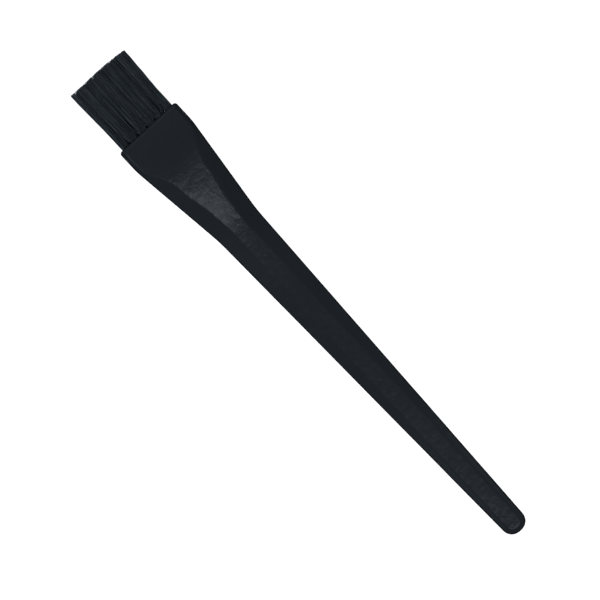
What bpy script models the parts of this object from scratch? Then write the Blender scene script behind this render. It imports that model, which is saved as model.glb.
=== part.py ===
"""A small flat hand brush: a moulded handle with tufts of bristle stapled into the end of its head.

The brush lies on the handle's flat back. X runs across its width, Y along its length towards
the bristles, and Z up. The origin is under the middle of its overall box.
"""

import math

import bmesh
import bpy
from mathutils import Matrix, Vector

MM = 0.001

# Driving dimensions, in millimetres. "Behind" means behind the head's end face.
OVERALL_LENGTH = 175.0
BRISTLE_LENGTH = 21.1
HEAD_WIDTH = 21.3
HEAD_THICKNESS = 10.0

# Handle in plan: parallel head, straight tapering neck, slim handle, rounded tail
NECK_STARTS_BEHIND = 7.0
NECK_ENDS_BEHIND = 37.1
NECK_TAPER = 0.121  # each side, mm per mm
HANDLE_TAPER = 0.029  # each side, mm per mm
SHOULDER_RADIUS = 0.85
STRIP_CORNER_BEHIND = 1.6  # where the top strip's front corners end
TAIL_ROUND_LENGTH = 3.6
TAIL_SQUARENESS = 2.2  # 2 would be an ellipse

# Handle from the side: the head's flat top slopes down through the neck, then levels out.
# A profile is a start value and its changes of slope: (behind, ease, mm per mm).
TOP_DROPS = ((13.9, 8.0, -0.120), (23.5, 9.0, -0.050), (35.5, 8.0, 0.088), (50.0, 20.0, 0.074))

# Flat strip along the top, between the two flanks that fall away to the side walls
STRIP_HALF_WIDTH = 9.4  # on the head
STRIP_NARROWS = (
    (8.5, 3.0, -0.51),
    (16.5, 5.0, 0.51),
    (21.5, 4.0, -0.23),
    (27.5, 4.0, 0.08),
    (38.0, 3.0, 0.15),
)
WALL_HEIGHT = 8.8  # on the head
WALL_DROPS = ((9.0, 4.0, -0.178), (35.3, 6.0, 0.1765))
FRONT_EDGE = 0.6  # how far the head's front edges are rounded back and down
TAIL_EDGE = 1.37
BACK_EDGE_RADIUS = 1.0
FRONT_BACK_EDGE_RADIUS = 0.5
WALL_EDGE_RADIUS = 1.1
STRIP_EDGE_RADIUS = 1.2

# Tufts: staggered rows of blind holes in the head's end face
HOLE_RADIUS = 1.15
HOLE_DEPTH = 7.0
HOLE_POINT = 0.5
TUFT_PITCH = 3.28
ROW_PITCH = 2.65
ROWS = (("top", 1, 6), ("middle", 0, 5), ("bottom", -1, 6))  # name, place, tufts
TUFT_RADIUS = 1.05
TUFT_TIP_RADIUS = 1.35
TIP_PITCH = 3.4
TIP_ROW_PITCH = 2.75
TIP_DRIFT = 0.14  # the whole block leans a little towards +X
TRIM_DROP = 0.7  # how much shorter the +X corner is cut
TUFT_SIDES = 12
ROOT_PROUD = 0.3

# Flat wire anchors across each tuft's fold
ANCHOR_THICKNESS = 0.4
ANCHOR_HEIGHT = 1.3
ANCHOR_LENGTH = 2.8
ANCHOR_DEEP_EDGE = 6.2  # behind the end face
ANCHOR_POINT = 0.35
GAP = 0.1  # between pieces that touch on the real brush

# Bending: each row turns on a line just in front of the head
HINGE_AHEAD = 0.45
BEND_LIMIT = math.radians(30)

FACE_Y = OVERALL_LENGTH / 2 - BRISTLE_LENGTH
HANDLE_LENGTH = OVERALL_LENGTH - BRISTLE_LENGTH
MIDDLE_Z = HEAD_THICKNESS / 2


def ramp(behind, start, ease):
    """How far a place is past start, eased in over a stretch centred on start."""
    into = behind - start + ease / 2
    if into <= 0:
        return 0.0
    if into >= ease:
        return behind - start
    return into * into / (2 * ease)


def half_width(behind):
    neck = NECK_TAPER * ramp(behind, NECK_STARTS_BEHIND, 3)
    handle = (NECK_TAPER - HANDLE_TAPER) * ramp(behind, NECK_ENDS_BEHIND, 6)
    return HEAD_WIDTH / 2 - neck + handle


def eased(start_value, changes, behind):
    """A value that changes slope at each (start, ease, change of slope)."""
    return start_value + sum(k * ramp(behind, start, ease) for start, ease, k in changes)


def top_height(behind):
    return eased(HEAD_THICKNESS, TOP_DROPS, behind)


def strip_half_width(behind):
    return eased(STRIP_HALF_WIDTH, STRIP_NARROWS, behind)


def wall_height(behind):
    return eased(WALL_HEIGHT, WALL_DROPS, behind)


def spread(start, end, steps):
    return [start + (end - start) * k / steps for k in range(steps)]


def handle_stations():
    """Places round the +X half of the handle's outline, from the end face to the tail.

    Each is (outer point, inner point, wall height, back edge radius), where the points are
    (x, behind) on the outline and on the edge of the top strip.
    """
    stations = []
    corner_x = half_width(0) - SHOULDER_RADIUS
    front_wall = HEAD_THICKNESS - FRONT_EDGE
    for turn in [*spread(math.pi / 2, 0, 4), 0.0]:
        out, ahead = math.cos(turn), math.sin(turn)
        outer = (corner_x + SHOULDER_RADIUS * out, SHOULDER_RADIUS * (1 - ahead))
        inner = (
            corner_x + (STRIP_HALF_WIDTH - corner_x) * out,
            STRIP_CORNER_BEHIND - (STRIP_CORNER_BEHIND - FRONT_EDGE) * ahead,
        )
        share = ahead * ahead
        wall = WALL_HEIGHT + (front_wall - WALL_HEIGHT) * share
        back = BACK_EDGE_RADIUS + (FRONT_BACK_EDGE_RADIUS - BACK_EDGE_RADIUS) * share
        stations.append((outer, inner, wall, back))

    tail = HANDLE_LENGTH - TAIL_ROUND_LENGTH
    places = spread(STRIP_CORNER_BEHIND, 6, 3)[1:] + spread(6, 12, 5)
    places += spread(12, 30, 12) + spread(30, 60, 12) + spread(60, tail, 8)
    for behind in places:
        outer = (half_width(behind), behind)
        inner = (strip_half_width(behind), behind)
        stations.append((outer, inner, wall_height(behind), BACK_EDGE_RADIUS))

    power = 2 / TAIL_SQUARENESS
    for turn in [*spread(0, math.pi / 2, 9), math.pi / 2]:
        out = max(0.0, math.cos(turn)) ** power
        along = math.sin(turn) ** power
        if turn == math.pi / 2:
            out = 0.0
        outer = (half_width(tail) * out, tail + TAIL_ROUND_LENGTH * along)
        inner = (
            strip_half_width(tail) * out,
            tail + (TAIL_ROUND_LENGTH - TAIL_EDGE) * along,
        )
        stations.append((outer, inner, wall_height(tail), BACK_EDGE_RADIUS))
    return stations


def rounded_corner(before, corner, after, radius, steps):
    """Points of the arc that rounds a corner between two straight runs."""
    to_before, to_after = before - corner, after - corner
    half = to_before.angle(to_after) / 2
    reach = min(radius / math.tan(half), 0.45 * min(to_before.length, to_after.length))
    to_before.normalize()
    to_after.normalize()
    centre = corner + (to_before + to_after).normalized() * (reach / math.cos(half))
    first = corner + to_before * reach - centre
    last = corner + to_after * reach - centre
    turn = math.atan2(first.x * last.y - first.y * last.x, first.dot(last))
    return [centre + Matrix.Rotation(turn * k / steps, 2) @ first for k in range(steps + 1)]


def edge_profile(inset, wall, height, back_radius):
    """The side of the handle at one station, as (distance inside the outline, height)."""
    back = Vector((2 * back_radius + 1, 0))
    foot, shoulder = Vector((0, 0)), Vector((0, wall))
    strip, beyond = Vector((inset, height)), Vector((inset + 5, height))
    points = rounded_corner(back, foot, shoulder, back_radius, 3)
    points += rounded_corner(foot, shoulder, strip, WALL_EDGE_RADIUS, 3)
    points += rounded_corner(shoulder, strip, beyond, STRIP_EDGE_RADIUS, 3)
    return points


def frame_point(x, behind, z):
    return Vector((x, FACE_Y - behind, z)) * MM


def handle_mesh():
    """Rings that follow the outline, stacked from the flat back up to the top strip."""
    bm = bmesh.new()
    columns = []
    for outer, inner, wall, back in handle_stations():
        start, inward = Vector(outer), Vector(inner) - Vector(outer)
        inset = inward.length
        inward.normalize()
        profile = edge_profile(inset, wall, top_height(inner[1]), back)
        right = [(start + inward * point.x, point.y) for point in profile]
        columns.append([(plan.x, plan.y, z) for plan, z in right])
    right = [[bm.verts.new(frame_point(*p)) for p in column] for column in columns]
    left = [
        [bm.verts.new(frame_point(-x, behind, z)) for x, behind, z in column]
        for column in columns[:-1]
    ]
    around = right + left[::-1]
    for column, following in zip(around, around[1:] + around[:1]):
        for level in range(len(column) - 1):
            bm.faces.new(
                (column[level], column[level + 1], following[level + 1], following[level])
            )
    for level in (0, -1):  # flat back and top strip, bridged from side to side
        for k in range(len(left) - 1):
            bm.faces.new(
                (right[k][level], right[k + 1][level], left[k + 1][level], left[k][level])
            )
        bm.faces.new((right[-2][level], right[-1][level], left[-1][level]))
    bmesh.ops.recalc_face_normals(bm, faces=bm.faces)
    return finished(bm, "handle_mesh")


def finished(bm, name):
    mesh = bpy.data.meshes.new(name)
    bm.to_mesh(mesh)
    bm.free()
    mesh.shade_smooth()
    mesh.set_sharp_from_angle(angle=math.radians(35))
    return mesh


def turned_rings(bm, rings):
    """Vertices of round rings across Y, each ring given as (x, y, z, radius)."""
    made = []
    for x, y, z, radius in rings:
        made.append([])
        for k in range(TUFT_SIDES):
            angle = 2 * math.pi * k / TUFT_SIDES
            spot = Vector((x + radius * math.cos(angle), y, z + radius * math.sin(angle)))
            made[-1].append(bm.verts.new(spot * MM))
    for ring, following in zip(made, made[1:]):
        for k in range(TUFT_SIDES):
            n = (k + 1) % TUFT_SIDES
            bm.faces.new((ring[k], ring[n], following[n], following[k]))
    return made


def turned_solid(bm, rings):
    made = turned_rings(bm, rings)
    bm.faces.new(made[0])
    bm.faces.new(made[-1])


def tuft_places():
    """Each tuft as (row name, number, x, z, tip x, tip z), in millimetres."""
    for name, place, count in ROWS:
        for k in range(count):
            column = k - (count - 1) / 2
            root = (column * TUFT_PITCH, MIDDLE_Z + place * ROW_PITCH)
            tip = (column * TIP_PITCH + TIP_DRIFT, MIDDLE_Z + place * TIP_ROW_PITCH)
            yield name, k + 1, *root, *tip


def hole_cutter_mesh():
    bm = bmesh.new()
    for _, _, x, z, _, _ in tuft_places():
        bottom = FACE_Y - HOLE_DEPTH
        turned_solid(
            bm,
            [
                (x, FACE_Y + 1, z, HOLE_RADIUS),
                (x, bottom, z, HOLE_RADIUS),
                (x, bottom - HOLE_POINT, z, HOLE_RADIUS / 3),
            ],
        )
    bmesh.ops.recalc_face_normals(bm, faces=bm.faces)
    return finished(bm, "hole_cutter_mesh")


def groove_cutter_mesh():
    """The grooves that the anchors press into the walls of their holes, with room all round."""
    bm = bmesh.new()
    middle = FACE_Y - ANCHOR_DEEP_EDGE + ANCHOR_HEIGHT / 2
    room = 2 * GAP
    for _, _, x, z, _, _ in tuft_places():
        size = (ANCHOR_THICKNESS + room, ANCHOR_HEIGHT + room, ANCHOR_LENGTH + room)
        place = Matrix.Translation(Vector((x, middle, z)) * MM)
        bmesh.ops.create_cube(
            bm, size=1, matrix=place @ Matrix.Diagonal((*[s * MM for s in size], 1))
        )
    return finished(bm, "groove_cutter_mesh")


def root_mesh(x, z):
    """The folded end of a tuft, rounded at the bottom of the hole where the filaments turn."""
    bm = bmesh.new()
    bottom = FACE_Y - HOLE_DEPTH + GAP
    turned_solid(
        bm,
        [
            (x, bottom, z, 0.65 * TUFT_RADIUS),
            (x, bottom + 0.4 * TUFT_RADIUS, z, TUFT_RADIUS),
            (x, FACE_Y + ROOT_PROUD, z, TUFT_RADIUS),
        ],
    )
    bmesh.ops.recalc_face_normals(bm, faces=bm.faces)
    return finished(bm, "tuft_root_mesh")


def tip_y(x):
    """Where the bristles are trimmed: square, except for a drop towards the +X corner."""
    edge = 2.5 * TIP_PITCH + TUFT_TIP_RADIUS
    return OVERALL_LENGTH / 2 - TRIM_DROP * (max(0.0, x) / edge) ** 2


def tuft_mesh(x, z, tip_x, tip_z):
    """The free length of a tuft. Its foot is cut back on both sides of the hinge line,
    so that it clears its root when it leans either way."""
    bm = bmesh.new()
    hinge = FACE_Y + HINGE_AHEAD
    foot, _, _ = rings = turned_rings(
        bm,
        [
            (x, hinge, z, TUFT_RADIUS),
            ((x + tip_x) / 2, hinge + BRISTLE_LENGTH / 2, (z + tip_z) / 2, 1.15),
            (tip_x, tip_y(tip_x), tip_z, TUFT_TIP_RADIUS),
        ],
    )
    for corner in foot:
        corner.co.y += abs(corner.co.z - z * MM) * math.tan(BEND_LIMIT)
    half = TUFT_SIDES // 2
    bm.faces.new(foot[: half + 1])
    bm.faces.new(foot[half:] + foot[:1])
    bm.faces.new(rings[-1])
    bmesh.ops.recalc_face_normals(bm, faces=bm.faces)
    return finished(bm, "tuft_mesh")


def anchor_mesh(x, z):
    """A cut length of flat wire, its deep corners sheared off so that it drives in."""
    bm = bmesh.new()
    long, deep = ANCHOR_LENGTH / 2, FACE_Y - ANCHOR_DEEP_EDGE
    outline = [
        (-long, deep + ANCHOR_POINT),
        (-long + ANCHOR_POINT, deep),
        (long - ANCHOR_POINT, deep),
        (long, deep + ANCHOR_POINT),
        (long, deep + ANCHOR_HEIGHT),
        (-long, deep + ANCHOR_HEIGHT),
    ]
    near = x - ANCHOR_THICKNESS / 2
    plate = bm.faces.new(
        [bm.verts.new(Vector((near, y, z + along)) * MM) for along, y in outline]
    )
    made = bmesh.ops.extrude_face_region(bm, geom=[plate])["geom"]
    corners = [g for g in made if isinstance(g, bmesh.types.BMVert)]
    bmesh.ops.translate(bm, verts=corners, vec=(ANCHOR_THICKNESS * MM, 0, 0))
    bmesh.ops.recalc_face_normals(bm, faces=bm.faces)
    return finished(bm, "anchor_mesh")


def material(name, colour, roughness, metallic=0.0):
    made = bpy.data.materials.new(name)
    made.use_nodes = True
    shader = made.node_tree.nodes["Principled BSDF"]
    shader.inputs["Base Color"].default_value = (*colour, 1)
    shader.inputs["Roughness"].default_value = roughness
    shader.inputs["Metallic"].default_value = metallic
    return made


def place(name, mesh, finish=None, parent=None):
    made = bpy.data.objects.new(name, mesh)
    bpy.context.scene.collection.objects.link(made)
    if finish:
        made.data.materials.append(finish)
    if parent:
        made.parent = parent
        made.matrix_parent_inverse = parent.matrix_world.inverted()
    return made


def cutter(name, mesh):
    made = place(name, mesh)
    made.hide_render = True
    made.display_type = "WIRE"
    return made


def cut(target, tool):
    boolean = target.modifiers.new(tool.name, "BOOLEAN")
    boolean.operation = "DIFFERENCE"
    boolean.solver = "EXACT"
    boolean.object = tool


def hinge_empty(name, z):
    made = bpy.data.objects.new(name, None)
    bpy.context.scene.collection.objects.link(made)
    made.location = Vector((0, FACE_Y + HINGE_AHEAD, z)) * MM
    return made


def build():
    for old in list(bpy.data.objects):
        bpy.data.objects.remove(old)

    plastic = material("moulded_black_plastic", (0.014, 0.017, 0.020), 0.55)
    nylon = material("black_nylon_bristle", (0.012, 0.014, 0.017), 0.42)
    wire = material("anchor_wire_brass", (0.72, 0.55, 0.28), 0.35, 1.0)

    holes = cutter("tuft_hole_cutter", hole_cutter_mesh())
    grooves = cutter("anchor_groove_cutter", groove_cutter_mesh())
    handle = place("handle", handle_mesh(), plastic)
    cut(handle, holes)
    cut(handle, grooves)

    hinges = {
        name: hinge_empty(f"{name}_row_hinge", MIDDLE_Z + place_of_row * ROW_PITCH)
        for name, place_of_row, _ in ROWS
    }
    bpy.context.view_layer.update()
    for row, number, x, z, tip_x, tip_z in tuft_places():
        root = place(f"tuft_root_{row}_{number}", root_mesh(x, z), nylon, handle)
        cut(root, grooves)
        place(f"anchor_{row}_{number}", anchor_mesh(x, z), wire, handle)
        place(f"tuft_{row}_{number}", tuft_mesh(x, z, tip_x, tip_z), nylon, hinges[row])


build()
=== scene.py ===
"""Looks of a small flat hand brush: textured moulded handle, folded nylon filaments, studio."""

import math
from typing import NamedTuple

import bmesh
import bpy
import numpy as np
from mathutils import Matrix, Vector, noise


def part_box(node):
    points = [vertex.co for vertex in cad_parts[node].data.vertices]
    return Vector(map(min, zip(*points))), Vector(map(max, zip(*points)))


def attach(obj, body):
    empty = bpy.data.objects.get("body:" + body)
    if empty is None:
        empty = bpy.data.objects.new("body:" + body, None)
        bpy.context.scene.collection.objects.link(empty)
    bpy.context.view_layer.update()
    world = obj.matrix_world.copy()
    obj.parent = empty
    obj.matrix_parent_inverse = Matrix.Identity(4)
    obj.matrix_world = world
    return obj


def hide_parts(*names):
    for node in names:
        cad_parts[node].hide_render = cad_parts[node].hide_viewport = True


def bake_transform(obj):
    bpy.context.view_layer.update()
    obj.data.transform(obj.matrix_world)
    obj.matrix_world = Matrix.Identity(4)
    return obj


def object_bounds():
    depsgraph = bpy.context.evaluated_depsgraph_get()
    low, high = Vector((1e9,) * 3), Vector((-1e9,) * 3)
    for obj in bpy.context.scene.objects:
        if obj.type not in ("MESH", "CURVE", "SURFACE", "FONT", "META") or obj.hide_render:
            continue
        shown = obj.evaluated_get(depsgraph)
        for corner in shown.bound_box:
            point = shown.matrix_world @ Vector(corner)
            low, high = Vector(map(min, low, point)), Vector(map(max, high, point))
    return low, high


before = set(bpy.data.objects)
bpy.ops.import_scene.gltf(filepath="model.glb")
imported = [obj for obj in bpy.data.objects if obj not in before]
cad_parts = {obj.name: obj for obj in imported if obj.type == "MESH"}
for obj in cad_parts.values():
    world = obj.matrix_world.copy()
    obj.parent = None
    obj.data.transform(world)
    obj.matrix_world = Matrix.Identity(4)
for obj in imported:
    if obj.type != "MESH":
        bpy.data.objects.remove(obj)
cad_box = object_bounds()

MM = 0.001

# What the frame says, in millimetres
HANDLE_LOW, HANDLE_HIGH = (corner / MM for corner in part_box("handle"))
FACE_Y = HANDLE_HIGH.y
HANDLE_LENGTH = HANDLE_HIGH.y - HANDLE_LOW.y
HEAD_WIDTH = HANDLE_HIGH.x - HANDLE_LOW.x
HEAD_THICKNESS = HANDLE_HIGH.z
BRUSH_END_Y = cad_box[1].y / MM

# The handle's form, as the CAD has it, in millimetres. "Behind" means behind the head's end face.
# What narrows or drops along the handle has a list of (where behind, over what length it eases,
# change of slope).
SHOULDER_RADIUS = 0.85
STRIP_CORNER_BEHIND = 1.6
TAIL_ROUND_LENGTH = 3.6
TAIL_STARTS_BEHIND = HANDLE_LENGTH - TAIL_ROUND_LENGTH
TAIL_SQUARENESS = 2.2  # 2 would be an ellipse
WIDTH_NARROWS = ((7.0, 3.0, -0.121), (37.1, 6.0, 0.092))
TOP_DROPS = ((13.9, 8.0, -0.120), (23.5, 9.0, -0.050), (35.5, 8.0, 0.088), (50.0, 20.0, 0.074))
STRIP_HALF_WIDTH = 9.4
STRIP_NARROWS = (
    (8.5, 3.0, -0.51),
    (16.5, 5.0, 0.51),
    (21.5, 4.0, -0.23),
    (27.5, 4.0, 0.08),
    (38.0, 3.0, 0.15),
)
WALL_HEIGHT = 8.8
WALL_DROPS = ((9.0, 4.0, -0.178), (35.3, 6.0, 0.1765))
FRONT_EDGE = 0.6
TAIL_EDGE = 1.37
BACK_EDGE_RADIUS = 1.0
FRONT_BACK_EDGE_RADIUS = 0.5
WALL_EDGE_RADIUS = 1.1
HOLE_RADIUS = 1.15
HOLE_DEPTH = 7.0
HOLE_POINT_LENGTH = 0.5

# How fine the handle's mesh is: a step along it in millimetres, and numbers of steps and sides
MESH_STEP = 0.4
SHOULDER_STEPS = 8
TAIL_STEPS = 18
EDGE_STEPS = 5
STRIP_EDGE_STEPS = 6
FOOT_STEPS = 2
WALL_STEPS = 6
ROUND_SIDES = 40
MARK_SIDES = 56
LONGEST_ARC = 0.45  # as a share of the shorter run beside it

# Where the moulding's form is finer than in the CAD, in millimetres
STRIP_EDGE_RADIUS = 0.8
STRIP_EDGE_SOFTENS = ((9.0, 4.0, 0.245), (18.0, 4.0, -0.165), (28.0, 4.0, -0.28), (40.0, 4.0, 0.20))
PARTING_HEIGHT = 1.75
PARTING_PROUD = 0.03
PARTING_HALF_WIDTH = 0.05
SINK_DEPTH = 0.06
SINK_HALF_WIDTH = 7.5
SINK_MIDDLE_BEHIND = 7.5
SINK_HALF_LENGTH = 6.5
CROWN_RADIUS = 100.0
CROWN_STARTS_BEHIND = 14.0
CROWN_EASE = 10.0
GRAIN_SIZE = 0.9
GRAIN_DEPTH = 0.012
GRAIN_FRACTAL = (1.0, 2.0, 2)  # falloff, scale between octaves, number of octaves
WAVE_SIZE = (9, 16, 9)
WAVE_DEPTH = 0.02
FLAT_WITHIN = 0.02  # of the end face or the back, where the surface stays flat
MOUTH_FLARE = 0.36  # of the holes
HOLE_POINT_RADIUS = HOLE_RADIUS / 3
HOLE_CUTTER_PAST = 0.1
EJECTOR_RADIUS = 2.0
EJECTOR_DEPTH = 0.12
EJECTORS_BEHIND = (12.0, 30.0, 70.0, 110.0)
GATE_BEHIND = 146.0
DIMPLE_RADIUS = 1.7
DIMPLE_DEPTH = 0.35
MARK_CUTTER_PAST = 1
GATE_STUB = ((0.08, 0.62), (0.14, 0.7), (0.6, 0.75))  # (height above the back's plane, radius)

# Filaments and their tufts, in millimetres; turns and twists are in degrees, from and to
FILAMENT_RADIUS = 0.092
FILAMENT_PITCH = 0.187
FILAMENT_SIDES = 6
FREE_RINGS = 13
FOLD_RINGS = 5
ANCHOR_HALF_THICKNESS = 0.2
ANCHOR_DEEP_EDGE = 6.2
FOLD_BEHIND = ANCHOR_DEEP_EDGE + 0.05
FOLD_FLATNESS = 0.8  # 1 would be half circles
# Below the mouth, a filament has come this share of the way to its spot at the anchor, this far
# behind the end face
BURIED_STOPS = ((0.5, 1.0), (0.8, 3.0), (1.0, 4.6), (1.0, FOLD_BEHIND))
TUFT_RADIUS = 1.05  # at the anchor
MOUTH_RADIUS = 1.42  # of a tuft where it leaves the head
MOUTH_GAP = 0.06  # from the middle plane to the nearest filaments there
MOUTH_JITTER = 0.03
LATTICE_REACH = 14  # places each way from the middle, more than a hole needs
LATTICE_TURN = (8, 22)
LATTICE_SHIFT = 0.1
TUFT_TWIST = (12, 30)
BRISTLE_SEED = 300

# The block that the free lengths make, in millimetres; pairs are x, z
MOUTH_LOW, MOUTH_HIGH = np.array([-9.36, 0.4]), np.array([9.36, 9.5])  # its corners at the head
TIP_MARGIN = np.array([1.38, 1.7])  # how far it reaches past the outer tip centres
CELL_OVERLAP = (1.3, 1.1)  # the tips of neighbouring tufts mix
TIP_ZONE = 0.5  # a CAD tuft's end points lie within this of its furthest one
TUFT_LEAN = 0.06
TIP_SPREAD = 0.24
STRAY_SPREAD = 0.42
STRAY_SHARE = 0.3
SPREAD_SHAPE = (1.0, 0.5)  # tips scatter half as much through the block as across it
TRIM_DROP = 0.7  # at the +X corner
TRIM_HALF_WIDTH = 9.99
TRIM_UNEVENNESS = 0.07
SHORT_SHARE = 0.03
SHORT_BY = (0.2, 0.9)
RING_CROWDING = 1.6  # rings stand closer together near the head
OPENING_POWER = 10  # a tuft opens close to the head
LEANING_POWER = 2.5  # and leans towards its cell further out
WIDENING_STARTS = 0.35  # as a share of the free length
SWAY = 0.045
SWAY_TURNS = (1.0, 2.4)
SWAY_FADES = 0.4  # towards the tips


# ---------------------------------------------------------------- shared helpers


def ramp(behind, start, ease):
    """How far a place is past start, eased in over a stretch centred on start."""
    into = behind - start + ease / 2
    if into <= 0:
        return 0.0
    if into >= ease:
        return behind - start
    return into * into / (2 * ease)


def eased(start_value, changes, behind):
    """A value that changes slope at each (start, ease, change of slope)."""
    return start_value + sum(change * ramp(behind, start, ease) for start, ease, change in changes)


def half_width(behind):
    return eased(HEAD_WIDTH / 2, WIDTH_NARROWS, behind)


def top_height(behind):
    return eased(HEAD_THICKNESS, TOP_DROPS, behind)


def strip_half_width(behind):
    return eased(STRIP_HALF_WIDTH, STRIP_NARROWS, behind)


def wall_height(behind):
    return eased(WALL_HEIGHT, WALL_DROPS, behind)


def add_object(name, data):
    made = bpy.data.objects.new(name, data)
    bpy.context.scene.collection.objects.link(made)
    return made


def mesh_from(bm, name):
    """A named mesh with what a bmesh holds, which is then freed."""
    mesh = bpy.data.meshes.new(name)
    bm.to_mesh(mesh)
    bm.free()
    return mesh


def shade(mesh, degrees):
    """Smooth shading, except at edges sharper than an angle."""
    mesh.shade_smooth()
    mesh.set_sharp_from_angle(angle=math.radians(degrees))


def apply_boolean(target, tool, operation):
    """Apply a Boolean with a tool object, which is then removed."""
    boolean = target.modifiers.new("cut", "BOOLEAN")
    boolean.operation = operation
    boolean.solver = "EXACT"
    boolean.object = tool
    bpy.context.view_layer.update()
    evaluated = target.evaluated_get(bpy.context.evaluated_depsgraph_get())
    result = bpy.data.meshes.new_from_object(evaluated)
    target.modifiers.clear()
    target.data = result
    bpy.data.objects.remove(tool)


# ---------------------------------------------------------------- the handle


class Station(NamedTuple):
    """A place on the +X half of the handle's outline, in plan as (x, behind)."""

    outer: tuple  # on the wall
    inner: tuple  # on the edge of the strip along the top
    wall: float  # the wall's height
    back_radius: float  # of the edge between the back and the wall
    proud: float  # how far the parting line stands out


def shoulder_stations():
    """Stations round the shoulder, from the head's straight end."""
    stations = []
    corner_x = half_width(0) - SHOULDER_RADIUS
    front_wall = HEAD_THICKNESS - FRONT_EDGE
    for k in range(SHOULDER_STEPS + 1):
        turn = math.pi / 2 * (1 - k / SHOULDER_STEPS)
        out, ahead = math.cos(turn), math.sin(turn)
        outer = (corner_x + SHOULDER_RADIUS * out, SHOULDER_RADIUS * (1 - ahead))
        inner = (
            corner_x + (STRIP_HALF_WIDTH - corner_x) * out,
            STRIP_CORNER_BEHIND - (STRIP_CORNER_BEHIND - FRONT_EDGE) * ahead,
        )
        share = ahead * ahead
        wall = WALL_HEIGHT + (front_wall - WALL_HEIGHT) * share
        back = BACK_EDGE_RADIUS + (FRONT_BACK_EDGE_RADIUS - BACK_EDGE_RADIUS) * share
        stations.append(Station(outer, inner, wall, back, PARTING_PROUD * (1 - share)))
    return stations


def side_stations():
    """Stations along the side, between the shoulder and the tail."""
    stations = []
    length = TAIL_STARTS_BEHIND - STRIP_CORNER_BEHIND
    count = round(length / MESH_STEP)
    for k in range(1, count):
        behind = STRIP_CORNER_BEHIND + length * k / count
        outer = (half_width(behind), behind)
        inner = (strip_half_width(behind), behind)
        wall = wall_height(behind)
        stations.append(Station(outer, inner, wall, BACK_EDGE_RADIUS, PARTING_PROUD))
    return stations


def tail_stations():
    """Stations round the tail to its tip, which lies on the middle plane."""
    stations = []
    outer_x, inner_x = half_width(TAIL_STARTS_BEHIND), strip_half_width(TAIL_STARTS_BEHIND)
    wall = wall_height(TAIL_STARTS_BEHIND)
    power = 2 / TAIL_SQUARENESS
    for k in range(TAIL_STEPS + 1):
        turn = math.pi / 2 * k / TAIL_STEPS
        out = 0.0 if k == TAIL_STEPS else math.cos(turn) ** power
        along = math.sin(turn) ** power
        outer = (outer_x * out, TAIL_STARTS_BEHIND + TAIL_ROUND_LENGTH * along)
        inner = (inner_x * out, TAIL_STARTS_BEHIND + (TAIL_ROUND_LENGTH - TAIL_EDGE) * along)
        stations.append(Station(outer, inner, wall, BACK_EDGE_RADIUS, PARTING_PROUD))
    return stations


def rounded_corner(before, corner, after, radius, steps):
    """Points of the arc that rounds a corner between two straight runs."""
    to_before, to_after = before - corner, after - corner
    half = to_before.angle(to_after) / 2
    reach = min(radius / math.tan(half), LONGEST_ARC * min(to_before.length, to_after.length))
    to_before.normalize()
    to_after.normalize()
    centre = corner + (to_before + to_after).normalized() * (reach / math.cos(half))
    first = corner + to_before * reach - centre
    last = corner + to_after * reach - centre
    turn = math.atan2(first.x * last.y - first.y * last.x, first.dot(last))
    return [centre + Matrix.Rotation(turn * k / steps, 2) @ first for k in range(steps + 1)]


def between(a, b, steps):
    """Points inside the straight run from a to b."""
    return [a.lerp(b, k / steps) for k in range(1, steps)]


def edge_profile(inset, wall, height, back_radius, strip_radius, proud):
    """The side of the handle at one station, as (distance inside the outline, height)."""
    flat_run = 5  # of the back and of the strip, more than their arcs need
    back, foot = Vector((flat_run, 0)), Vector((0, 0))
    shoulder = Vector((0, wall))
    strip, beyond = Vector((inset, height)), Vector((inset + flat_run, height))
    low = rounded_corner(back, foot, shoulder, back_radius, EDGE_STEPS)
    middle = rounded_corner(foot, shoulder, strip, WALL_EDGE_RADIUS, EDGE_STEPS)
    high = rounded_corner(shoulder, strip, beyond, strip_radius, STRIP_EDGE_STEPS)
    w = PARTING_HALF_WIDTH
    ridge = [
        Vector((0, PARTING_HEIGHT - 2 * w)),
        Vector((-proud, PARTING_HEIGHT - w)),
        Vector((-proud, PARTING_HEIGHT + w)),
        Vector((0, PARTING_HEIGHT + 2 * w)),
    ]
    return (
        low
        + between(low[-1], ridge[0], FOOT_STEPS)
        + ridge
        + between(ridge[-1], middle[0], WALL_STEPS)
        + middle
        + between(middle[-1], high[0], WALL_STEPS)
        + high
    )


def side_column(station):
    """Points up the side of the handle at a station, as (x, behind, height)."""
    start, inward = Vector(station.outer), Vector(station.inner) - Vector(station.outer)
    inset = inward.length
    inward.normalize()
    height = top_height(station.inner[1])
    strip_radius = eased(STRIP_EDGE_RADIUS, STRIP_EDGE_SOFTENS, station.outer[1])
    profile = edge_profile(
        inset, station.wall, height, station.back_radius, strip_radius, station.proud
    )
    plan = [start + inward * point.x for point in profile]
    return [(spot.x, spot.y, point.y) for spot, point in zip(plan, profile)]


def sink(x, behind):
    """How far the thick head has shrunk in under its top face."""
    across = max(0.0, 1 - (x / SINK_HALF_WIDTH) ** 2)
    along = max(0.0, 1 - ((behind - SINK_MIDDLE_BEHIND) / SINK_HALF_LENGTH) ** 2)
    return SINK_DEPTH * across * along


def crown(x, edge_x, behind):
    """How far the top strip rises between its edges, behind the head."""
    half_ease = CROWN_EASE / 2
    share = min(1.0, ramp(behind, CROWN_STARTS_BEHIND + half_ease, CROWN_EASE) / half_ease)
    return share * (edge_x * edge_x - x * x) / (2 * CROWN_RADIUS)


def flat_back(x, edge_x, behind):
    """The back doesn't rise."""
    return 0


def shaped_top(x, edge_x, behind):
    """The top sinks on the head and is crowned behind it."""
    return crown(x, edge_x, behind) - sink(x, behind)


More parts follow.
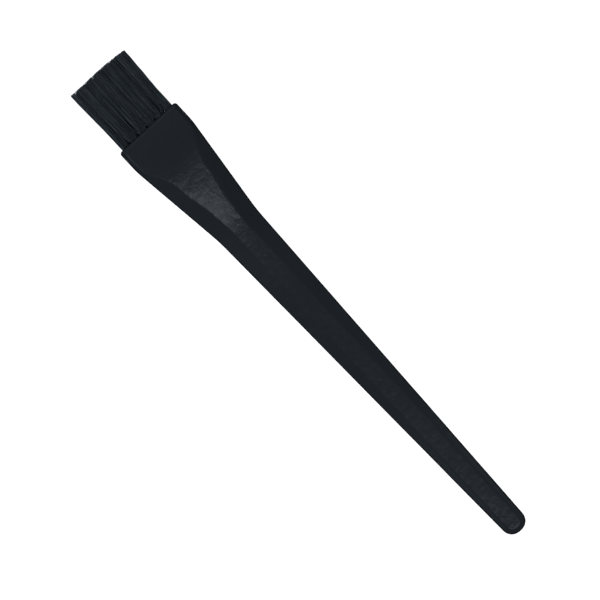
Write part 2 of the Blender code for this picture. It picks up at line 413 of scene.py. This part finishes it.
def cover(bm, right, left, level, rise):
    """Close the handle at one level of its side columns, with rows of faces from side to side.
    rise says how far a point stands above the straight line between its row's ends."""
    count = round(2 * STRIP_HALF_WIDTH / MESH_STEP)
    rows = []
    for first, last in zip(right[:-1], left[:-1]):
        a, b = first[level].co, last[level].co
        row = [first[level]]
        for k in range(1, count):
            x = a.x + (b.x - a.x) * k / count
            row.append(bm.verts.new((x, a.y, a.z + rise(x, a.x, FACE_Y - a.y))))
        rows.append(row + [last[level]])
    for row, following in zip(rows, rows[1:]):
        for k in range(count):
            bm.faces.new((row[k], row[k + 1], following[k + 1], following[k]))
    tip = right[-1][level]
    for k in range(count):
        bm.faces.new((rows[-1][k], rows[-1][k + 1], tip))


def grain(bm):
    """The coarse part of the spark-eroded texture, and the slight waves of a cooled moulding."""
    bm.normal_update()
    offsets = []
    for v in bm.verts:
        if v.co.y > FACE_Y - FLAT_WITHIN or v.co.z < FLAT_WITHIN:
            offsets.append(0.0)
            continue
        rough = noise.fractal(v.co / GRAIN_SIZE, *GRAIN_FRACTAL)
        wave = noise.noise(Vector([c / size for c, size in zip(v.co, WAVE_SIZE)]))
        offsets.append(GRAIN_DEPTH * rough + WAVE_DEPTH * wave)
    for v, offset in zip(bm.verts, offsets):
        v.co += v.normal * offset


def handle_shell():
    """The handle's skin: columns of faces up its side all the way round, the flat back, and the
    strip along the top."""
    bm = bmesh.new()
    stations = shoulder_stations() + side_stations() + tail_stations()
    right, left = [], []
    for station in stations:
        column = side_column(station)
        right.append([bm.verts.new((x, FACE_Y - behind, z)) for x, behind, z in column])
        if station is stations[-1]:
            left.append(right[-1])  # both halves meet at the tail's tip
        else:
            left.append([bm.verts.new((-x, FACE_Y - behind, z)) for x, behind, z in column])

    around = right + left[-2::-1]
    for column, following in zip(around, around[1:] + around[:1]):
        for k in range(len(column) - 1):
            bm.faces.new((column[k], column[k + 1], following[k + 1], following[k]))
    cover(bm, right, left, 0, flat_back)
    cover(bm, right, left, -1, shaped_top)

    bmesh.ops.recalc_face_normals(bm, faces=bm.faces)
    grain(bm)
    bmesh.ops.scale(bm, vec=(MM, MM, MM), verts=bm.verts)
    return mesh_from(bm, "handle_moulding")


def turned(bm, axis, centre, profile, sides):
    """A closed solid turned on an axis along Y or Z. Its centre is given in the other two
    directions, and its profile as (place along the axis, radius) pairs."""
    rings = []
    for along, radius in profile:
        ring = []
        for k in range(sides):
            angle = 2 * math.pi * k / sides
            a = centre[0] + radius * math.cos(angle)
            b = centre[1] + radius * math.sin(angle)
            spot = (a, along, b) if axis == "Y" else (a, b, along)
            ring.append(bm.verts.new(Vector(spot) * MM))
        rings.append(ring)
    for ring, following in zip(rings, rings[1:]):
        for k in range(sides):
            n = (k + 1) % sides
            bm.faces.new((ring[k], ring[n], following[n], following[k]))
    bm.faces.new(rings[0])
    bm.faces.new(rings[-1])


def combine(handle, name, operation, solids):
    """Cut turned solids from the handle, or join them to it."""
    bm = bmesh.new()
    for solid in solids:
        turned(bm, *solid)
    bmesh.ops.recalc_face_normals(bm, faces=bm.faces)
    apply_boolean(handle, add_object(name, mesh_from(bm, name)), operation)


def cut_holes(handle, tufts):
    """The blind holes that the tufts stand in, with flared mouths."""
    profile = (
        (FACE_Y + HOLE_CUTTER_PAST, HOLE_RADIUS + MOUTH_FLARE + HOLE_CUTTER_PAST),
        (FACE_Y - MOUTH_FLARE, HOLE_RADIUS),
        (FACE_Y - HOLE_DEPTH, HOLE_RADIUS),
        (FACE_Y - HOLE_DEPTH - HOLE_POINT_LENGTH, HOLE_POINT_RADIUS),
    )
    solids = [("Y", tuft.root, profile, ROUND_SIDES) for tuft in tufts]
    combine(handle, "holes", "DIFFERENCE", solids)


def mark_back(handle):
    """Ejector pin witness marks and the gate's dimple, sunk into the flat back."""
    pin = ((-MARK_CUTTER_PAST, EJECTOR_RADIUS), (EJECTOR_DEPTH, EJECTOR_RADIUS))
    dimple = ((-MARK_CUTTER_PAST, DIMPLE_RADIUS), (DIMPLE_DEPTH, DIMPLE_RADIUS))
    solids = [("Z", (0, FACE_Y - behind), pin, MARK_SIDES) for behind in EJECTORS_BEHIND]
    solids.append(("Z", (0, FACE_Y - GATE_BEHIND), dimple, MARK_SIDES))
    combine(handle, "marks", "DIFFERENCE", solids)


def add_gate_stub(handle):
    """The cut stub of the gate, left standing in its dimple below the back's surface."""
    stub = ("Z", (0, FACE_Y - GATE_BEHIND), GATE_STUB, ROUND_SIDES)
    combine(handle, "stub", "UNION", [stub])


def make_handle(tufts, plastic):
    """The moulding, with its holes and marks."""
    handle = add_object("handle_moulding", handle_shell())
    cut_holes(handle, tufts)
    mark_back(handle)
    add_gate_stub(handle)
    shade(handle.data, degrees=40)
    handle.data.materials.clear()
    handle.data.materials.append(plastic)
    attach(handle, "handle")
    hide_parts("handle")


# ---------------------------------------------------------------- the bristles


class Tuft(NamedTuple):
    """A tuft's name and row, and the middles of its root and its tip as (x, z)."""

    name: str
    row: str
    root: tuple
    tip: tuple


def read_tufts():
    """Every tuft, as the CAD nodes place it."""
    tufts = []
    for node in sorted(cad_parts):
        if not node.startswith("tuft_root_"):
            continue
        name = node.removeprefix("tuft_root_")
        low, high = (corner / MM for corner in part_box(node))
        root = ((low.x + high.x) / 2, (low.z + high.z) / 2)
        points = [v.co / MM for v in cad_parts[f"tuft_{name}"].data.vertices]
        end = max(point.y for point in points)
        ends = [point for point in points if point.y > end - TIP_ZONE]
        tip_x = sum(point.x for point in ends) / len(ends)
        tip_z = sum(point.z for point in ends) / len(ends)
        tufts.append(Tuft(name, name.split("_")[0], root, (tip_x, tip_z)))
    return tufts


def rotated(points, angle):
    """Rows of (x, z) turned about the origin."""
    turn = np.array([[math.cos(angle), math.sin(angle)], [-math.sin(angle), math.cos(angle)]])
    return points @ turn


def hairpin_roots(rng):
    """Where one leg of each folded filament stands in its hole: (x, z) from the hole's middle,
    on the +X side of the anchor, closely packed at an angle of the tuft's own."""
    places = np.arange(-LATTICE_REACH, LATTICE_REACH + 1)
    i, j = np.meshgrid(places, places)
    x = (i + 0.5 * j).ravel() * FILAMENT_PITCH
    z = j.ravel() * FILAMENT_PITCH * math.sqrt(3) / 2
    turn = math.radians(rng.uniform(*LATTICE_TURN))
    shift = rng.uniform(-LATTICE_SHIFT, LATTICE_SHIFT, 2)
    spots = rotated(np.stack([x, z], axis=1), turn) + shift
    inside = np.hypot(*spots.T) < TUFT_RADIUS - FILAMENT_RADIUS
    beside = spots[:, 0] > ANCHOR_HALF_THICKNESS + FILAMENT_RADIUS
    return spots[inside & beside]


def trim_y(x):
    """Where the bristles are cut: square, except for a drop towards the +X corner."""
    return BRUSH_END_Y - TRIM_DROP * (np.clip(x, 0, None) / TRIM_HALF_WIDTH) ** 2


def tip_places(offset, cell, lean, rng, low, high):
    """Where the tips of a round tuft end up, as (x, z), when they fill its cell. A tip that would
    pass the block's side is turned back into it."""
    count = len(offset)
    reach = np.hypot(*offset.T)
    squared = offset / reach.max() * (reach / np.abs(offset).max(axis=1))[:, None]
    strays = rng.random((count, 1)) < STRAY_SHARE
    scatter = np.where(strays, STRAY_SPREAD, TIP_SPREAD) * SPREAD_SHAPE
    spread = squared * cell[1] * CELL_OVERLAP + scatter * rng.normal(0, 1, (count, 2))
    tip = cell[0] + lean + spread
    return np.where(tip < low, 2 * low - tip, np.where(tip > high, 2 * high - tip, tip))


def free_lengths(root, cell, rng, low, high):
    """Centre lines of filaments that stand at root in the face of the head. Their tips fill the
    tuft's cell, given as (middle, half size), of a block with the corners low and high."""
    count = len(root)
    centre = root.mean(axis=0)
    offset = root - centre
    lean = rng.normal(0, TUFT_LEAN, 2)
    tip = tip_places(offset, cell, lean, rng, low, high)
    end = trim_y(tip[:, 0]) - np.abs(rng.normal(0, TRIM_UNEVENNESS, count))
    short = rng.random(count) < SHORT_SHARE
    end[short] -= rng.uniform(*SHORT_BY, short.sum())

    t = (np.linspace(0, 1, FREE_RINGS) ** RING_CROWDING)[None, :, None]
    opened = 1 - (1 - t) ** OPENING_POWER
    leant = 1 - (1 - t) ** LEANING_POWER
    path = centre + (cell[0] + lean - centre) * leant
    path = path + offset[:, None, :] * (1 - opened) + (tip - cell[0] - lean)[:, None, :] * opened

    widened = np.clip((t - WIDENING_STARTS) / (1 - WIDENING_STARTS), 0, 1)
    lowest = MOUTH_LOW + (low - MOUTH_LOW) * widened
    highest = MOUTH_HIGH + (high - MOUTH_HIGH) * widened
    path = np.clip(path, lowest, highest)

    phase = rng.uniform(0, 2 * np.pi, (count, 1, 2))
    turns = rng.uniform(*SWAY_TURNS, (count, 1, 2))
    sway = rng.normal(0, SWAY, (count, 1, 2))
    fading = 1 + SWAY_FADES - SWAY_FADES * t
    path = path + sway * np.sin(turns * 2 * np.pi * t + phase) * np.sqrt(t) * fading
    y = FACE_Y + (end[:, None] - FACE_Y) * t[:, :, 0]
    return np.stack([path[:, :, 0], y, path[:, :, 1]], axis=2)


def buried_lengths(at_anchor, mouth, root):
    """Centre lines from below the mouth of a hole down past the anchor's deep edge."""
    stops = []
    for share, behind in BURIED_STOPS:
        spot = mouth + (at_anchor - mouth) * share + root
        y = np.full(len(spot), FACE_Y - behind)
        stops.append(np.stack([spot[:, 0], y, spot[:, 1]], axis=1))
    return np.stack(stops, axis=1)


def hairpins(root, cell, rng, low, high):
    """Centre lines of a tuft's filaments, each folded under the anchor: tip, fold, tip."""
    half = hairpin_roots(rng)
    parted = ANCHOR_HALF_THICKNESS + FILAMENT_RADIUS
    rim = TUFT_RADIUS - FILAMENT_RADIUS
    widening = (MOUTH_RADIUS - FILAMENT_RADIUS) / rim
    twist = rng.choice([-1, 1]) * math.radians(rng.uniform(*TUFT_TWIST))
    anchored, mouths = [], []
    for sign in (1, -1):
        anchored.append(half * (sign, 1))
        mouth = half.copy()
        mouth[:, 0] = MOUTH_GAP + (half[:, 0] - parted) * (rim - MOUTH_GAP) / (rim - parted)
        mouth[:, 1] += sign * FILAMENT_PITCH / 4
        mouth = mouth * (sign * widening, widening) + rng.normal(0, MOUTH_JITTER, half.shape)
        mouths.append(rotated(mouth, twist))
    free = free_lengths(np.concatenate(mouths) + root, cell, rng, low, high)
    right, left = free[: len(half)], free[len(half) :]
    down = buried_lengths(anchored[0], mouths[0], root)
    up = buried_lengths(anchored[1], mouths[1], root)[:, ::-1]

    angle = np.linspace(0, math.pi, FOLD_RINGS + 2)[1:-1]
    reach = half[:, :1]
    fold_x = root[0] + reach * np.cos(angle)
    fold_y = FACE_Y - FOLD_BEHIND - FOLD_FLATNESS * reach * np.sin(angle)
    fold_z = root[1] + half[:, 1:] + np.zeros(FOLD_RINGS)
    fold = np.stack([fold_x, fold_y, fold_z], axis=2)
    return np.concatenate([right[:, ::-1], down, fold, up, left], axis=1)


def tube_mesh(name, paths, radius, sides):
    """One closed tube along each path, which may not run along Z."""
    count, rings, _ = paths.shape
    tangent = np.gradient(paths, axis=1)
    tangent /= np.linalg.norm(tangent, axis=2, keepdims=True)
    across = np.cross(tangent, (0, 0, 1.0))
    across /= np.linalg.norm(across, axis=2, keepdims=True)
    upward = np.cross(across, tangent)
    angle = np.arange(sides) * 2 * math.pi / sides
    points = paths[:, :, None, :] + radius * (
        across[:, :, None, :] * np.cos(angle)[None, None, :, None]
        + upward[:, :, None, :] * np.sin(angle)[None, None, :, None]
    )
    points = points.reshape(-1, 3) * MM

    start = (np.arange(count) * rings * sides)[:, None, None]
    ring = (np.arange(rings - 1) * sides)[None, :, None]
    side = np.arange(sides)[None, None, :]
    a = start + ring + side
    b = start + ring + (side + 1) % sides
    quads = np.stack([a, a + sides, b + sides, b], axis=3).reshape(-1, 4)
    first_cap = start[:, 0] + side[0]
    last_cap = first_cap[:, ::-1] + (rings - 1) * sides
    faces = quads.tolist() + first_cap.tolist() + last_cap.tolist()
    mesh = bpy.data.meshes.new(name)
    mesh.from_pydata(points.tolist(), [], faces)
    mesh.validate()
    shade(mesh, degrees=60)
    return mesh


def tip_cells(tufts, low, high):
    """Each tuft's share of the block at the tips, as (middle, half size). The borders lie midway
    between neighbouring tips of a row, and evenly between the rows."""
    heights = {tuft.row: tuft.root[1] for tuft in tufts}
    rows = sorted(heights, key=heights.get)
    layers = np.linspace(low[1], high[1], len(rows) + 1)
    cells = []
    for tuft in tufts:
        mates = sorted(mate.tip[0] for mate in tufts if mate.row == tuft.row)
        borders = [low[0], *((a + b) / 2 for a, b in zip(mates, mates[1:])), high[0]]
        place, layer = mates.index(tuft.tip[0]), rows.index(tuft.row)
        corner = np.array([borders[place], layers[layer]])
        opposite = np.array([borders[place + 1], layers[layer + 1]])
        cells.append(((corner + opposite) / 2, (opposite - corner) / 2))
    return cells


def make_bristles(tufts, nylon):
    """One piece for each tuft, all its folded filaments."""
    tips = np.array([tuft.tip for tuft in tufts])
    low, high = tips.min(axis=0) - TIP_MARGIN, tips.max(axis=0) + TIP_MARGIN
    for number, (tuft, cell) in enumerate(zip(tufts, tip_cells(tufts, low, high))):
        rng = np.random.default_rng(BRISTLE_SEED + number)
        paths = hairpins(tuft.root, cell, rng, low, high)
        mesh = tube_mesh(f"bristles_{tuft.name}", paths, FILAMENT_RADIUS, FILAMENT_SIDES)
        mesh.materials.append(nylon)
        bristles = add_object(f"bristles_{tuft.name}", mesh)
        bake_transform(bristles)
        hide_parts(f"tuft_{tuft.name}", f"tuft_root_{tuft.name}")


# ---------------------------------------------------------------- materials


PLASTIC_SHADES = ((0.021, 0.0285, 0.036), (0.027, 0.035, 0.044))
NYLON_SHADES = ((0.046, 0.060, 0.072), (0.080, 0.101, 0.120))
# painted highlight: the paler colour of short stretches of filament, standing in for glints of
# light
PAINTED_GLINT_NYLON = (0.15, 0.18, 0.21)
BRASS_SHADES = ((0.62, 0.44, 0.20), (0.78, 0.60, 0.32))
NOISE_RANGE = (0.3, 0.7)  # most of a noise texture lies between these


class Nodes:
    """A little shorthand for building a material's nodes. Noise scales are per metre, and bump
    depths are in metres."""

    def __init__(self, name):
        self.material = bpy.data.materials.new(name)
        self.material.use_nodes = True
        self.tree = self.material.node_tree
        self.shader = self.tree.nodes["Principled BSDF"]

    def feed(self, node, inputs):
        """Link or set a node's inputs, whose names have _ for each space."""
        for name, value in inputs.items():
            socket = node.inputs[name.replace("_", " ")]
            if isinstance(value, bpy.types.NodeSocket):
                self.tree.links.new(value, socket)
            else:
                socket.default_value = value

    def add(self, kind, **inputs):
        node = self.tree.nodes.new(kind)
        self.feed(node, inputs)
        return node

    def set(self, **inputs):
        self.feed(self.shader, inputs)

    def place(self, scale=(1, 1, 1)):
        spot = self.add("ShaderNodeTexCoord").outputs["Object"]
        return self.add("ShaderNodeMapping", Vector=spot, Scale=scale).outputs[0]

    def noise(self, where, scale, detail, roughness):
        settings = {"Scale": scale, "Detail": detail, "Roughness": roughness}
        return self.add("ShaderNodeTexNoise", Vector=where, **settings).outputs["Fac"]

    def remap(self, value, low, high, to_low, to_high):
        limits = {"From_Min": low, "From_Max": high, "To_Min": to_low, "To_Max": to_high}
        return self.add("ShaderNodeMapRange", Value=value, **limits).outputs[0]

    def stretch(self, value, to_low=0, to_high=1):
        """A noise remapped so that most of it fills a range."""
        return self.remap(value, *NOISE_RANGE, to_low, to_high)

    def mix(self, share, a, b):
        """A blend of two colours, each a link or plain red, green and blue."""
        node = self.tree.nodes.new("ShaderNodeMix")
        node.data_type = "RGBA"
        self.tree.links.new(share, node.inputs[0])
        for socket, colour in ((node.inputs[6], a), (node.inputs[7], b)):
            if isinstance(colour, bpy.types.NodeSocket):
                self.tree.links.new(colour, socket)
            else:
                socket.default_value = (*colour, 1)
        return node.outputs[2]

    def bump(self, height, depth, normal=None):
        node = self.add("ShaderNodeBump", Height=height, Distance=depth, Strength=1.0)
        if normal is not None:
            self.tree.links.new(normal, node.inputs["Normal"])
        return node.outputs[0]


def plastic_material():
    """Black moulded plastic with a spark-eroded grain, whose shade and gloss vary a little."""
    n = Nodes("moulded_black_plastic")
    where = n.place()
    fine = n.noise(where, scale=4200.0, detail=2.0, roughness=0.6)
    coarse = n.noise(where, scale=540.0, detail=2.0, roughness=0.45)
    broad = n.noise(where, scale=70.0, detail=2.0, roughness=0.5)
    n.set(
        Base_Color=n.mix(n.stretch(broad), *PLASTIC_SHADES),
        Roughness=n.stretch(coarse, 0.20, 0.27),
        Normal=n.bump(fine, 0.000006, n.bump(coarse, 0.000055)),
        Metallic=0.0,
        IOR=1.5,
    )
    return n.material


def nylon_material():
    """Black nylon monofilament: lengthwise drawing lines, a shade that differs a little from one
    filament to the next, and short paler stretches that are painted highlight streaks (painted
    glints)."""
    n = Nodes("black_nylon_bristle")
    along = n.place((1.0, 0.02, 1.0))
    each = n.noise(along, scale=3000.0, detail=1.0, roughness=0.5)
    lines = n.noise(along, scale=14000.0, detail=1.0, roughness=0.5)
    # painted highlight: this noise picks the short stretches of filament that are painted paler as
    # glints
    painted_glints = n.noise(n.place((1.0, 0.05, 1.0)), scale=2600.0, detail=1.0, roughness=0.5)
    shade_of_each = n.mix(n.stretch(each), *NYLON_SHADES)
    n.set(
        Base_Color=n.mix(n.remap(painted_glints, 0.62, 0.72, 0, 1), shade_of_each, PAINTED_GLINT_NYLON),
        Roughness=n.stretch(each, 0.24, 0.44),
        Normal=n.bump(lines, 0.000004),
        IOR=1.53,
    )
    return n.material


def wire_material():
    """Flat brass wire with its drawing lines."""
    n = Nodes("anchor_wire")
    lines = n.noise(n.place((1.0, 1.0, 0.03)), scale=9000.0, detail=2.0, roughness=0.6)
    n.set(
        Base_Color=n.mix(n.stretch(lines), *BRASS_SHADES),
        Roughness=n.stretch(lines, 0.22, 0.42),
        Normal=n.bump(lines, 0.000006),
        Metallic=1.0,
    )
    return n.material


def finish_anchors(wire):
    """The anchors keep their CAD shape and take the wire's material."""
    for name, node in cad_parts.items():
        if name.startswith("anchor_"):
            node.data.materials.clear()
            node.data.materials.append(wire)


# ---------------------------------------------------------------- studio, in metres


BRUSH_TURN = math.radians(42.85)  # the brush's own +Y, turned left from the picture's up
LENS, SENSOR = 200.0, 36.0
FIELD_WIDTH = 0.1682
VIEW_CENTRE = Vector((-0.00144, 0.00216))
FLOOR_Z = -0.0115
FLOOR_HALF_SIZE = 6
SURROUND_RADIUS = 5.5
SOFTBOX_COLOUR = (0.90, 0.98, 1.08)
SKY_COLOUR = (0.88, 0.94, 1.01, 1)
HORIZON = (-0.1, 0.16)  # over these heights of the unit sky, its strength rises
SKY_STRENGTH = (0.05, 0.181)
KEY_TILT = math.radians(18)


def make_camera():
    """A long lens straight above the brush."""
    data = bpy.data.cameras.new("camera")
    data.lens, data.sensor_width = LENS, SENSOR
    camera = add_object("camera", data)
    distance = FIELD_WIDTH / (SENSOR / LENS)
    camera.location = (VIEW_CENTRE.x, VIEW_CENTRE.y, HEAD_THICKNESS / 2 * MM + distance)
    camera.rotation_euler = (0, 0, -BRUSH_TURN)
    bpy.context.scene.camera = camera


def white(name):
    """Plain white that glows, so that it stays white behind the brush."""
    material = bpy.data.materials.new(name)
    material.use_nodes = True
    shader = material.node_tree.nodes["Principled BSDF"]
    shader.inputs["Base Color"].default_value = (0.9, 0.9, 0.9, 1)
    shader.inputs["Roughness"].default_value = 0.8
    shader.inputs["Emission Color"].default_value = (1, 1, 1, 1)
    shader.inputs["Emission Strength"].default_value = 1.0
    return material


def make_stage():
    """A plain white floor and a white surround, which only the camera sees."""
    bm = bmesh.new()
    bmesh.ops.create_grid(bm, x_segments=2, y_segments=2, size=FLOOR_HALF_SIZE)
    floor = add_object("floor", mesh_from(bm, "floor"))
    floor.location.z = FLOOR_Z

    bm = bmesh.new()
    bmesh.ops.create_uvsphere(bm, u_segments=48, v_segments=24, radius=SURROUND_RADIUS)
    bmesh.ops.reverse_faces(bm, faces=bm.faces)
    surround = add_object("surround", mesh_from(bm, "surround"))
    for stage in (floor, surround):
        stage.data.materials.append(white(f"white_{stage.name}"))
        stage.visible_diffuse = False
        stage.visible_glossy = False
        stage.visible_transmission = False
        stage.visible_shadow = False


def make_sky():
    """Soft light from all round, stronger from above the horizon than from below it."""
    world = bpy.data.worlds.new("studio")
    bpy.context.scene.world = world
    world.use_nodes = True
    tree = world.node_tree
    spot = tree.nodes.new("ShaderNodeTexCoord").outputs["Generated"]
    parts = tree.nodes.new("ShaderNodeSeparateXYZ")
    tree.links.new(spot, parts.inputs[0])
    rise = tree.nodes.new("ShaderNodeMapRange")
    rise.inputs["From Min"].default_value, rise.inputs["From Max"].default_value = HORIZON
    rise.inputs["To Min"].default_value, rise.inputs["To Max"].default_value = SKY_STRENGTH
    tree.links.new(parts.outputs[2], rise.inputs["Value"])
    background = tree.nodes["Background"]
    background.inputs["Color"].default_value = SKY_COLOUR
    tree.links.new(rise.outputs[0], background.inputs["Strength"])


def softbox(name, aim, towards, distance, size, power):
    """A rectangular light that faces the point aim (mm) from the direction towards."""
    data = bpy.data.lights.new(name, "AREA")
    data.shape = "RECTANGLE"
    data.size, data.size_y = size
    data.energy = power
    data.color = SOFTBOX_COLOUR
    light = add_object(name, data)
    direction = Vector(towards).normalized()
    light.location = Vector(aim) * MM + direction * distance
    light.rotation_mode = "QUATERNION"
    light.rotation_quaternion = direction.to_track_quat("Z", "Y")


def make_lights():
    """A key light on the neck, and smaller ones on the bristles and the tail."""
    neck = (0, FACE_Y - 28, 8)
    bristles = (0, FACE_Y + 8, 8)
    tail = (0, FACE_Y - 150, 4)
    key = (-0.08, -math.sin(KEY_TILT), math.cos(KEY_TILT))
    left_ahead, front = (-0.68, 0.18, 0.71), (-0.35, 0.6, 0.72)
    softbox("key_softbox", neck, key, distance=2.5, size=(0.7, 0.43), power=1.88)
    softbox("bristle_light", bristles, left_ahead, distance=0.35, size=(0.06, 0.06), power=0.09)
    for side, x in (("right", 0.85), ("left", -0.85)):
        name, towards = f"tail_light_{side}", (x, 0, 0.52)
        softbox(name, tail, towards, distance=0.15, size=(0.04, 0.06), power=0.0012)
    softbox("front_softbox", bristles, front, distance=1.0, size=(0.5, 0.5), power=1.0)


def main():
    bpy.context.scene.view_settings.view_transform = "Standard"
    make_camera()
    make_stage()
    make_sky()
    make_lights()

    tufts = read_tufts()
    make_handle(tufts, plastic_material())
    make_bristles(tufts, nylon_material())
    finish_anchors(wire_material())


main()
